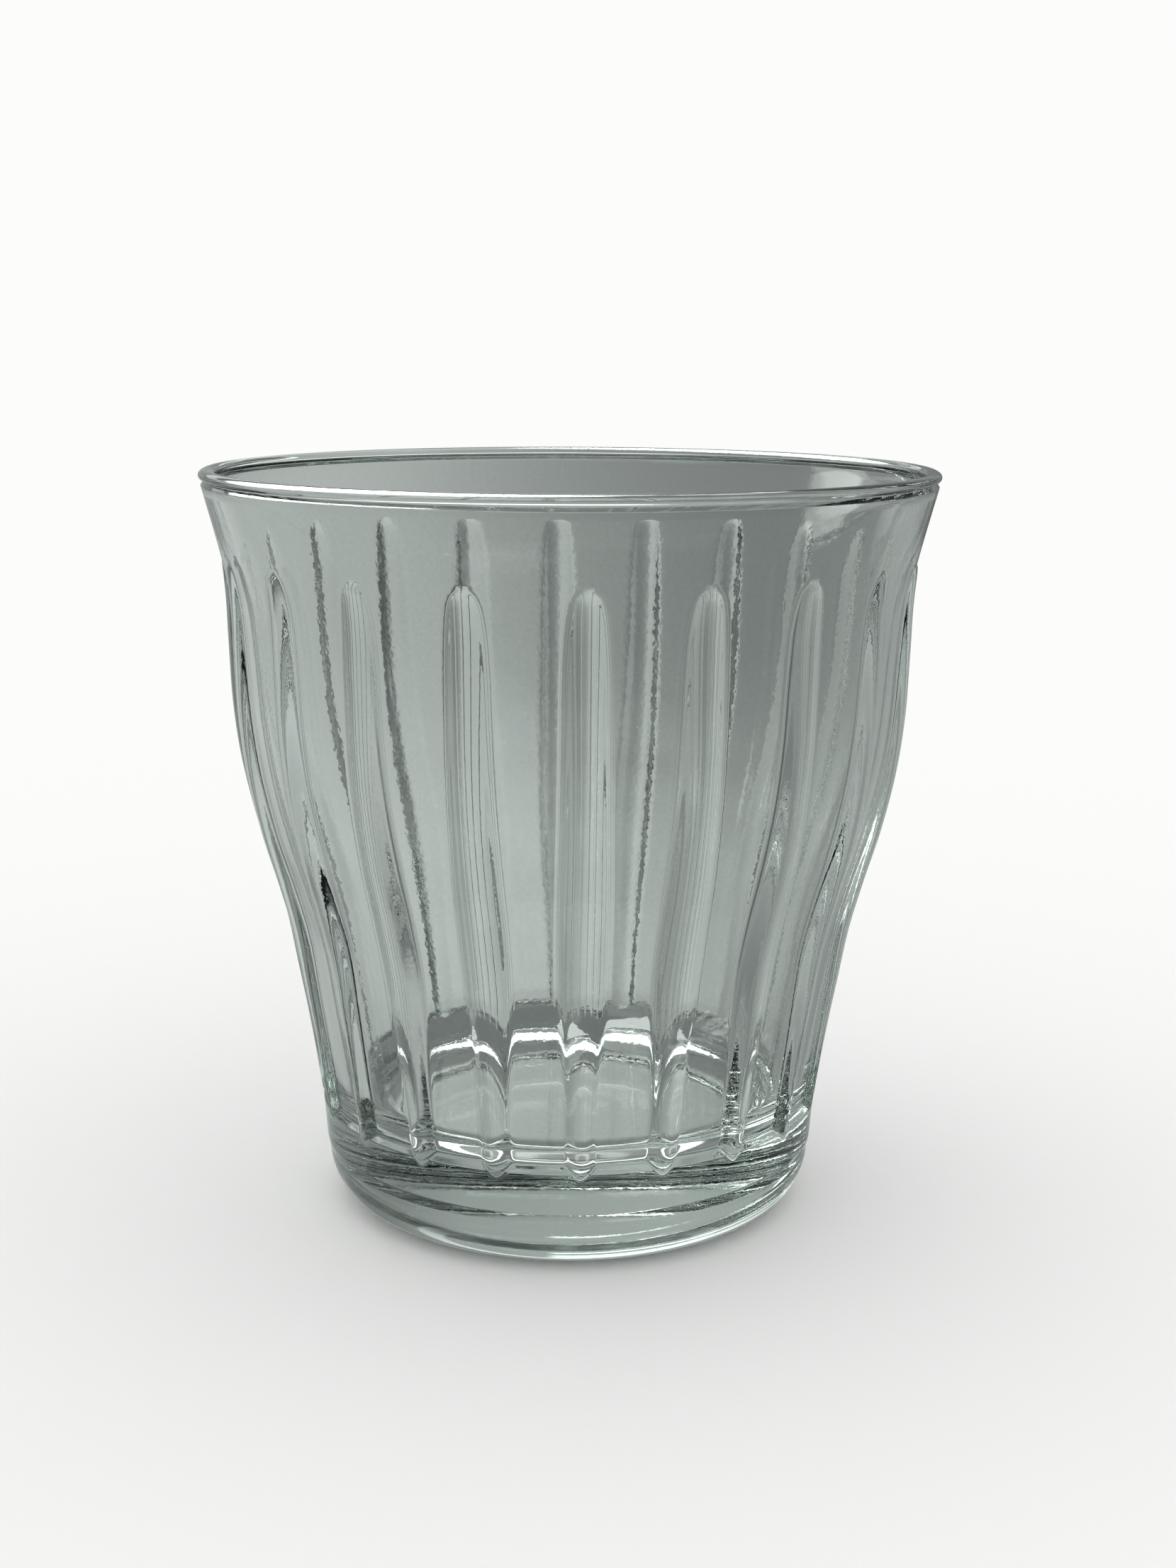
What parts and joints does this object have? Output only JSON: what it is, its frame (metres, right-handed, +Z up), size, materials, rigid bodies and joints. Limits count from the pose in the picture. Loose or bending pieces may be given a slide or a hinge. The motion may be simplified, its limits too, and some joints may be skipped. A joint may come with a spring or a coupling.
{
  "type": "juice glass",
  "caption": "Thick-based pressed glass tumbler with a waisted wall, raised vertical ribs that end in round arches, a smooth flared band and a beaded rim.",
  "frame": {"origin": "centre of the standing ring, on the surface that the glass stands on", "axes": "+Z up along the glass's axis of revolution; -Y towards the viewer of the picture; +X to the viewer's right"},
  "size_m": [0.0876, 0.0876, 0.09],
  "materials": {
    "glass": "pressed, fire-polished"
  },
  "bodies": {
    "root": {"tumbler": "glass"}
  },
  "joints": []
}
